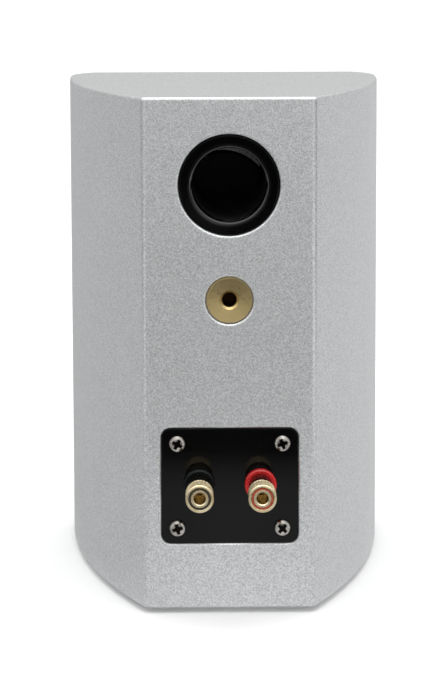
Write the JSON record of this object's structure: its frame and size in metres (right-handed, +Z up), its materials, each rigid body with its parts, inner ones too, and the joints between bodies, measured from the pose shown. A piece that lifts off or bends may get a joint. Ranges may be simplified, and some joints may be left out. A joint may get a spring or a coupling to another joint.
{
  "type": "bookshelf speaker",
  "caption": "Small two-way bookshelf loudspeaker with a boat-tailed painted cabinet, rear port, bracket insert and binding posts, and a pull-off cloth grille.",
  "frame": {"origin": "on the surface the speaker stands on, under the middle of the cabinet", "axes": "+Z up, -Y to the front (drivers and grille), +Y to the rear (port, bracket insert and posts), +X to the right as seen from the front"},
  "size_m": [0.12, 0.1797, 0.182],
  "materials": {
    "painted_cabinet": "metallic flake lacquer",
    "black_rubber": "matte",
    "foam": "soft foam",
    "gloss_black_plastic": "gloss",
    "satin_black_plastic": "satin",
    "brass": "turned",
    "nickel_screw": "bright",
    "gold_plated": "bright plated",
    "red_plastic": "gloss",
    "black_plastic": "gloss",
    "tinned_copper": "tinned",
    "pressed_steel": "black powder coat",
    "zinc_steel": "zinc plated",
    "ferrite": "sintered",
    "paper_cone": "pressed paper",
    "silk_dome": "coated silk",
    "spider_cloth": "impregnated cloth",
    "copper_coil": "enamelled wire",
    "grille_plastic": "matte",
    "grille_fabric": "woven",
    "green_board": "solder mask",
    "white_ceramic": "ceramic",
    "yellow_film": "film wrap",
    "white_nylon": "nylon"
  },
  "bodies": {
    "cabinet": {"base_pad": "black_rubber", "black_collar": "black_plastic", "black_post": "gold_plated", "bottom_panel": "painted_cabinet", "bracket_insert": "brass", "crossover_board": "green_board", "crossover_capacitors": "yellow_film", "crossover_inductor": "copper_coil", "crossover_resistor": "white_ceramic", "crossover_screws": "nickel_screw", "crossover_spacers": "white_nylon", "damping_pad": "foam", "front_baffle": "painted_cabinet", "grille_sockets": "black_rubber", "hex_nuts": "zinc_steel", "inductor_bobbin": "white_nylon", "inner_washers": "black_plastic", "input_leads": "black_plastic", "port_flare": "gloss_black_plastic", "port_tube": "satin_black_plastic", "rear_panel": "painted_cabinet", "red_collar": "red_plastic", "red_post": "gold_plated", "side_wall_left": "painted_cabinet", "side_wall_right": "painted_cabinet", "solder_tags": "tinned_copper", "terminal_gasket": "foam", "terminal_plate": "gloss_black_plastic", "terminal_screws": "nickel_screw", "top_panel": "painted_cabinet", "tweeter_faceplate": "satin_black_plastic", "tweeter_magnet": "ferrite", "tweeter_pole_piece": "zinc_steel", "tweeter_rear_cup": "satin_black_plastic", "tweeter_screws": "nickel_screw", "tweeter_surround": "silk_dome", "tweeter_top_plate": "zinc_steel", "woofer_basket": "pressed_steel", "woofer_gasket": "foam", "woofer_magnet": "ferrite", "woofer_pole_piece": "zinc_steel", "woofer_screws": "nickel_screw", "woofer_spider": "spider_cloth", "woofer_surround": "black_rubber", "woofer_top_plate": "zinc_steel"},
    "grille": {"grille_frame": "grille_plastic", "grille_cloth": "grille_fabric", "grille_pegs": "grille_plastic"},
    "woofer_diaphragm": {"woofer_cone": "paper_cone", "woofer_dust_cap": "paper_cone", "woofer_voice_coil": "copper_coil"},
    "tweeter_diaphragm": {"tweeter_dome": "silk_dome", "tweeter_voice_coil": "copper_coil"},
    "red_carrier": {"red_nut_ring": "red_plastic"},
    "red_nut": {"red_post_nut": "gold_plated"},
    "black_carrier": {"black_nut_ring": "black_plastic"},
    "black_nut": {"black_post_nut": "gold_plated"}
  },
  "joints": [
    {"name": "grille_pull", "type": "slide", "parent": "cabinet", "child": "grille", "axis": [0, -1, 0], "range_m": [0, 0.03]},
    {"name": "woofer_travel", "type": "slide", "parent": "cabinet", "child": "woofer_diaphragm", "axis": [0, -1, 0], "range_m": [-0.002, 0.002], "stiffness_N_per_m": 900, "deforming": ["woofer_surround", "woofer_spider"]},
    {"name": "tweeter_travel", "type": "slide", "parent": "cabinet", "child": "tweeter_diaphragm", "axis": [0, -1, 0], "range_m": [-0.0003, 0.0003], "stiffness_N_per_m": 1500, "deforming": ["tweeter_surround"]},
    {"name": "red_nut_travel", "type": "slide", "parent": "cabinet", "child": "red_carrier", "axis": [0, 1, 0], "range_m": [0, 0.004]},
    {"name": "red_nut_turn", "type": "hinge", "parent": "red_carrier", "child": "red_nut", "pos_m": [-0.01075, 0.09, 0.0463], "axis": [0, -1, 0], "range_deg": [0, 1800]},
    {"name": "black_nut_travel", "type": "slide", "parent": "cabinet", "child": "black_carrier", "axis": [0, 1, 0], "range_m": [0, 0.004]},
    {"name": "black_nut_turn", "type": "hinge", "parent": "black_carrier", "child": "black_nut", "pos_m": [0.01075, 0.09, 0.0463], "axis": [0, -1, 0], "range_deg": [0, 1800]}
  ],
  "couplings": [
    {"joint": "red_nut_travel", "follows": "red_nut_turn", "m_per_rad": 0.00012732},
    {"joint": "black_nut_travel", "follows": "black_nut_turn", "m_per_rad": 0.00012732}
  ]
}
